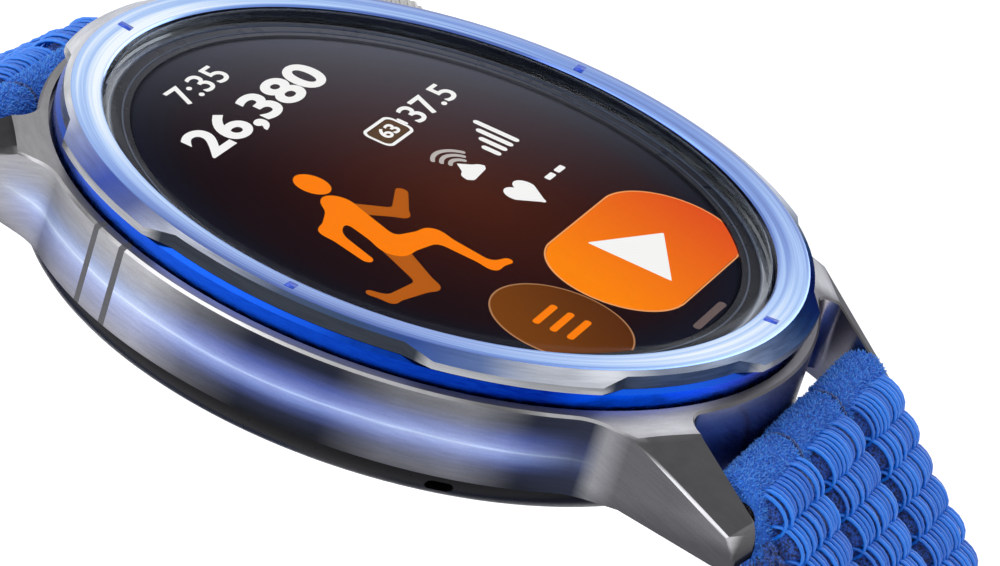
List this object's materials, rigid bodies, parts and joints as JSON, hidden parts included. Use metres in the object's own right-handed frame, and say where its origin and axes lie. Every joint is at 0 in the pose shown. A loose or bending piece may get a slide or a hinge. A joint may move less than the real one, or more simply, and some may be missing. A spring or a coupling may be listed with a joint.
{
  "type": "smartwatch",
  "caption": "Round sports smartwatch with a woven two-part strap, turning push crown, side button, metal strap loop and quick-release spring bars.",
  "frame": {"origin": "centre of the flat of the sensor window, the lowest face of the case back", "axes": "+Z out of the display, +Y towards 12 o'clock, +X towards 3 o'clock"},
  "size_m": [0.0445, 0.0798, 0.055],
  "materials": {
    "brushed_titanium": "brushed",
    "bezel_titanium": "brushed",
    "polished_ring": "polished",
    "blue_accent": "satin",
    "cover_glass": "polished",
    "display_face": "lit screen",
    "black_rubber": "matte",
    "steel": "satin",
    "flex_film": "satin",
    "frame_plastic": "matte",
    "battery_foil": "satin",
    "board": "solder mask",
    "copper": "enamelled",
    "tungsten": "matte",
    "black_plastic": "matte",
    "back_shell": "gloss",
    "sensor_glass": "polished",
    "electrode_plate": "polished",
    "ferrite": "matte",
    "led_epoxy": "clear",
    "photodiode": "gloss",
    "antenna_resin": "matte",
    "key_metal": "brushed",
    "woven_blue": "woven",
    "tab_blue": "woven",
    "loop_metal": "satin"
  },
  "bodies": {
    "case": {"accent_ring": "blue_accent", "antenna_inserts": "antenna_resin", "back_cover": "back_shell", "back_screws": "steel", "back_seal": "black_rubber", "battery": "battery_foil", "bezel": "bezel_titanium", "bezel_inner_ring": "polished_ring", "board_shields": "steel", "button_switch": "steel", "charging_coil": "copper", "cover_glass": "cover_glass", "crown_encoder": "black_plastic", "crown_switch": "steel", "crown_tube": "steel", "display_bracket": "steel", "display_flex": "flex_film", "display_panel": "display_face", "electrodes": "electrode_plate", "ferrite_sheet": "ferrite", "frame_screws": "steel", "glass_gasket": "black_rubber", "haptic_coil": "copper", "haptic_housing": "steel", "inner_frame": "frame_plastic", "key_flex": "flex_film", "main_board": "board", "mic_mesh": "black_rubber", "microphone": "steel", "mid_case": "brushed_titanium", "photodiodes": "photodiode", "pressure_sensor": "steel", "sensor_board": "board", "sensor_flex": "flex_film", "sensor_leds": "led_epoxy", "sensor_window": "sensor_glass", "speaker": "black_plastic"},
    "haptic_mass": {"haptic_mass": "tungsten"},
    "crown_push": {"crown_collar": "steel"},
    "crown": {"crown_cap": "key_metal", "crown_shaft": "steel", "crown_o_ring": "black_rubber"},
    "side_button": {"button_cap": "key_metal", "button_stem": "steel", "button_clip": "steel", "button_o_ring": "black_rubber"},
    "short_half": {"short_strap": "woven_blue", "short_bar_tube": "steel", "short_fixed_tip": "steel", "short_bar_spring": "steel"},
    "long_half": {"long_strap": "woven_blue", "strap_tab": "tab_blue", "long_bar_tube": "steel", "long_fixed_tip": "steel", "long_bar_spring": "steel"},
    "short_release": {"short_release_pin": "steel"},
    "long_release": {"long_release_pin": "steel"},
    "strap_loop": {"loop_ring": "loop_metal"}
  },
  "joints": [
    {"name": "short_strap_hinge", "type": "hinge", "parent": "case", "child": "short_half", "pos_m": [0, 0.0236, 0.00465], "axis": [1, 0, 0], "range_deg": [0, 60]},
    {"name": "long_strap_hinge", "type": "hinge", "parent": "case", "child": "long_half", "pos_m": [0, -0.0236, 0.00465], "axis": [-1, 0, 0], "range_deg": [0, 60]},
    {"name": "loop_hinge", "type": "hinge", "parent": "short_half", "child": "strap_loop", "pos_m": [0, 0.00905, -0.04196], "axis": [1, 0, 0], "range_deg": [-95, 60]},
    {"name": "crown_press", "type": "slide", "parent": "case", "child": "crown_push", "axis": [-0.866, -0.5, 0], "range_m": [0, 0.00035], "stiffness_N_per_m": 4000},
    {"name": "crown_turn", "type": "hinge", "parent": "crown_push", "child": "crown", "pos_m": [0.01879, 0.01085, 0.0064], "axis": [0.866, 0.5, 0], "continuous": true},
    {"name": "button_press", "type": "slide", "parent": "case", "child": "side_button", "axis": [-0.866, 0.5, 0], "range_m": [0, 0.0003], "stiffness_N_per_m": 4000},
    {"name": "short_release_slide", "type": "slide", "parent": "short_half", "child": "short_release", "axis": [-1, 0, 0], "range_m": [0, 0.0013], "stiffness_N_per_m": 800, "deforming": ["short_bar_spring"]},
    {"name": "long_release_slide", "type": "slide", "parent": "long_half", "child": "long_release", "axis": [-1, 0, 0], "range_m": [0, 0.0013], "stiffness_N_per_m": 800, "deforming": ["long_bar_spring"]},
    {"name": "haptic_shuttle", "type": "slide", "parent": "case", "child": "haptic_mass", "axis": [0, 1, 0], "range_m": [-0.0004, 0.0004], "stiffness_N_per_m": 900}
  ]
}
